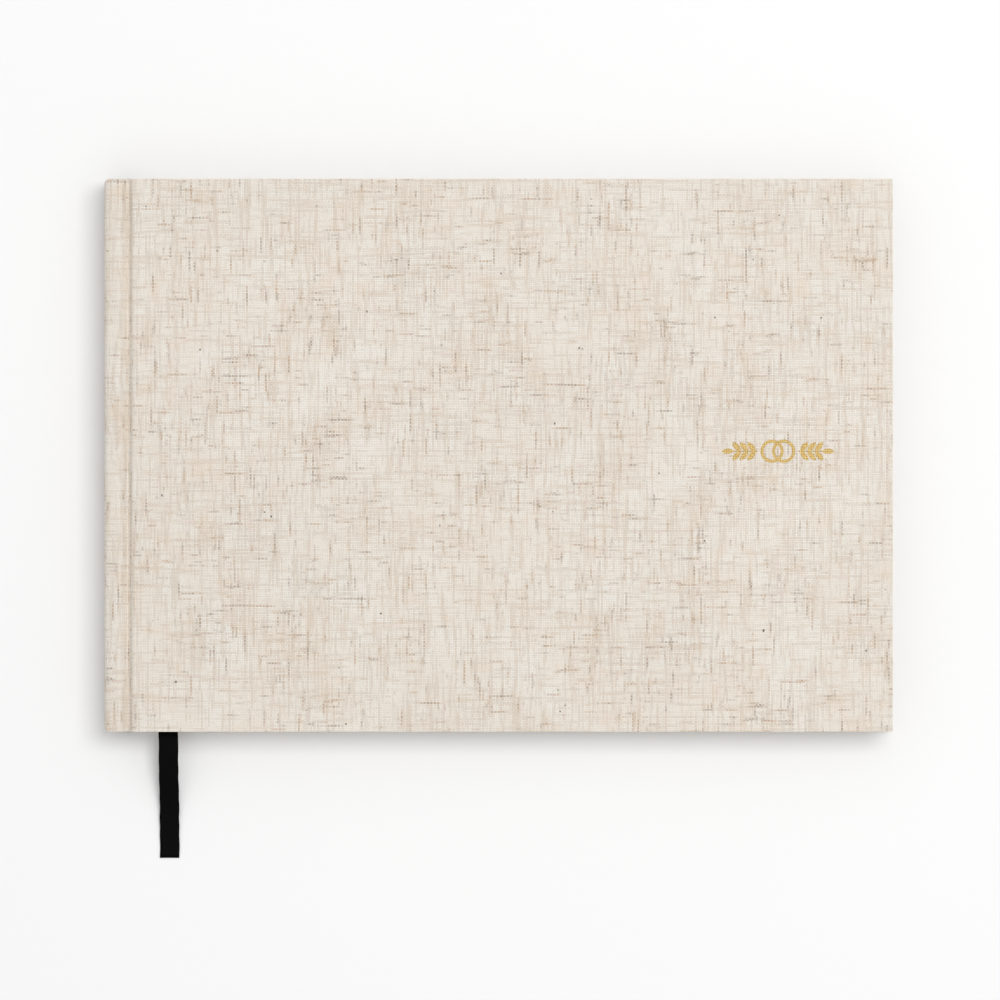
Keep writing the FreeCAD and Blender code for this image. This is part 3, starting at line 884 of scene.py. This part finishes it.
def signature_block(name):
    """A sewn section: four folded sheets, one inside the other."""
    low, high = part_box(name)
    middle_z = (low[2] + high[2]) / 2
    mesh = bmesh.new()
    for sheet in range(4):
        folded_sheet(mesh, middle_z, (sheet + 0.5) * SHEET, SHEET * 0.84)
    bmesh.ops.recalc_face_normals(mesh, faces=mesh.faces)
    piece = finished(name + "_sheets", mesh, PAGE, smooth=False)
    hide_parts(name)
    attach(piece, "text_block")


# ---------------------------------------------------------------- endbands

def endband(name):
    """A silk bead wound in two colours along a round core, on the edge of the spine."""
    low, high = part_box(name)
    outward = 1 if low[1] > 0 else -1
    radius = (high[0] - low[0]) / 2
    middle_x = (low[0] + high[0]) / 2
    bead_y = (high[1] - radius) if outward > 0 else (low[1] + radius)
    pitch = 0.52 * MM
    count = int((high[2] - low[2]) / pitch)
    for colour, material, first in (("pale", BAND_PALE, 0), ("gold", BAND_GOLD, 1)):
        mesh = bmesh.new()
        for index in range(first, count, 2):
            z = low[2] + (index + 0.5) * pitch
            add_winding(mesh, Vector((middle_x, bead_y, z)), radius * 0.80, pitch * 0.52)
            skirt = bmesh.ops.create_cube(mesh, size=1.0)["verts"]
            bmesh.ops.scale(mesh, vec=(radius * 1.1, radius * 1.6, pitch * 0.86), verts=skirt)
            bmesh.ops.translate(
                mesh, vec=(middle_x, bead_y - outward * radius * 0.7, z), verts=skirt)
        bmesh.ops.recalc_face_normals(mesh, faces=mesh.faces)
        piece = finished("%s_%s_silk" % (name, colour), mesh, material)
        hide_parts(name)
        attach(piece, "text_block")


def add_winding(mesh, centre, radius, thread):
    """One turn of silk: a small circle spun about the band's own line."""
    circle = bmesh.ops.create_circle(mesh, cap_ends=False, radius=thread / 2, segments=6)["verts"]
    upright = Matrix.Rotation(math.pi / 2, 3, "X")
    bmesh.ops.rotate(mesh, cent=(0, 0, 0), matrix=upright, verts=circle)
    bmesh.ops.translate(mesh, vec=centre + Vector((radius, 0, 0)), verts=circle)
    edges = list({edge for vert in circle for edge in vert.link_edges})
    bmesh.ops.spin(
        mesh, geom=circle + edges, cent=centre, axis=(0, 0, 1), dvec=(0, 0, 0),
        angle=math.tau, steps=14, use_merge=True, use_duplicate=False,
    )


# ---------------------------------------------------------------- ribbon marker

RIBBON_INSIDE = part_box("ribbon_inside")
RIBBON_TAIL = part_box("ribbon_tail")
RIBBON_WIDTH = RIBBON_TAIL[1][0] - RIBBON_TAIL[0][0]
RIBBON_X = (RIBBON_TAIL[0][0] + RIBBON_TAIL[1][0]) / 2
RIBBON_EXIT = Vector((RIBBON_X, RIBBON_INSIDE[0][1], MIDDLE_Z))
RIBBON_THICK = 0.22 * MM
RIBBON_ROUTE = (
    (0.0, 9.0), (7.0, 8.7), (14.4, 5.9), (21.9, 2.2), (29.6, 0.75), (35.8, 0.3), (41.0, 0.2),
)


def route_points(points, samples):
    """Points along one smooth NURBS line through the route's control points."""
    curve = bpy.data.curves.new("ribbon_route", "CURVE")
    curve.dimensions = "3D"
    spline = curve.splines.new("NURBS")
    spline.points.add(len(points) - 1)
    for control, place in zip(spline.points, points):
        control.co = (*place, 1.0)
    spline.order_u = 3
    spline.use_endpoint_u = True
    curve.resolution_u = samples // len(points) + 2
    holder = bpy.data.objects.new("ribbon_route", curve)
    bpy.context.scene.collection.objects.link(holder)
    bpy.context.view_layer.update()
    line = bpy.data.meshes.new_from_object(holder)
    places = [vert.co.copy() for vert in line.vertices]
    bpy.data.objects.remove(holder)
    bpy.data.curves.remove(curve)
    bpy.data.meshes.remove(line)
    return places


def ribbon_strip(mesh, places, width, wander):
    """A flat strip along a line: rows of vertices across it, joined by extrusion."""
    across = spread(-0.5, 0.5, 8)
    edges = None
    shift = random.uniform(0, 6)
    for index, place in enumerate(places):
        wave = wander * math.sin(index * 0.9 + shift) + wander * 0.6 * math.sin(index * 0.37)
        row = [Vector((place.x + share * width + wave, place.y, place.z)) for share in across]
        for share, spot in zip(across, row):
            spot.z += 0.25 * MM * (share * share) * smooth_rise(index, 4, 20)
        if edges is None:
            verts = [mesh.verts.new(spot) for spot in row]
            edges = [mesh.edges.new(pair) for pair in zip(verts, verts[1:])]
            continue
        made = bmesh.ops.extrude_edge_only(mesh, edges=edges)["geom"]
        verts = [item for item in made if isinstance(item, bmesh.types.BMVert)]
        verts.sort(key=lambda vert: vert.co.x)
        for vert, spot in zip(verts, row):
            vert.co = spot
        edges = [item for item in made if isinstance(item, bmesh.types.BMEdge)
                 and all(vert in verts for vert in item.verts)]


def ribbon_tail():
    controls = [(RIBBON_X, RIBBON_EXIT.y - out * MM, height * MM) for out, height in RIBBON_ROUTE]
    places = route_points(controls, 40)
    mesh = bmesh.new()
    ribbon_strip(mesh, places, RIBBON_WIDTH - 0.1 * MM, 0.05 * MM)
    bmesh.ops.recalc_face_normals(mesh, faces=mesh.faces)
    piece = finished("ribbon_free_tail", mesh, SATIN)
    add_thickness(piece, RIBBON_THICK, 0.0)
    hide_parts("ribbon_tail")
    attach(piece, "ribbon")


def ribbon_inside():
    """The part between the pages, from the head of the folds to the tail edge."""
    head = Vector((RIBBON_INSIDE[0][0] + RIBBON_WIDTH / 2, RIBBON_INSIDE[1][1], MIDDLE_Z))
    bend = Vector((RIBBON_X, -HALF_Y / 2, MIDDLE_Z))
    places = [head.lerp(bend, share) for share in spread(0, 1, 20)]
    places += [bend.lerp(RIBBON_EXIT, share) for share in spread(0, 1, 8)[1:]]
    mesh = bmesh.new()
    half = RIBBON_WIDTH / 2 - 0.05 * MM
    verts = [mesh.verts.new(places[0] + Vector((way * half, 0, 0))) for way in (-1, 0, 1)]
    edges = [mesh.edges.new(pair) for pair in zip(verts, verts[1:])]
    for before, after in zip(places, places[1:]):
        edges = draw_out(mesh, edges, after - before)
    bmesh.ops.recalc_face_normals(mesh, faces=mesh.faces)
    piece = finished("ribbon_between_pages", mesh, SATIN)
    add_thickness(piece, 0.18 * MM, 0.0)
    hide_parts("ribbon_inside")
    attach(piece, "text_block")


# ---------------------------------------------------------------- pieces that CAD already shapes

CAD_FINISHES = {
    "front_board": GREYBOARD, "back_board": GREYBOARD, "spine_board": GREYBOARD,
    "front_gauze_flange": GAUZE, "back_gauze_flange": GAUZE, "spine_gauze": GAUZE,
    "spine_liner": KRAFT, "sewing_tapes": TAPE, "sewing_thread": THREAD,
}


def finish_cad_nodes():
    for name, material in CAD_FINISHES.items():
        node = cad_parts[name]
        node.data.materials.clear()
        node.data.materials.append(material)


def studio_floor():
    mesh = bmesh.new()
    bmesh.ops.create_grid(mesh, x_segments=2, y_segments=2, size=4.0)
    data = bpy.data.meshes.new("studio_floor")
    mesh.to_mesh(data)
    mesh.free()
    data.materials.append(floor_finish())
    floor = bpy.data.objects.new("studio_floor", data)
    bpy.context.scene.collection.objects.link(floor)


# ---------------------------------------------------------------- the whole book

set_camera()
ribbon_tail()
ribbon_inside()
set_room()
studio_floor()
for cover_side in ("front", "back"):
    cover_linen(cover_side)
    pastedown(cover_side)
foil_ornament()
turning_leaves()
for section in range(3, 9):
    signature_block("signature_%d" % section)
endband("head_band")
endband("tail_band")
finish_cad_nodes()
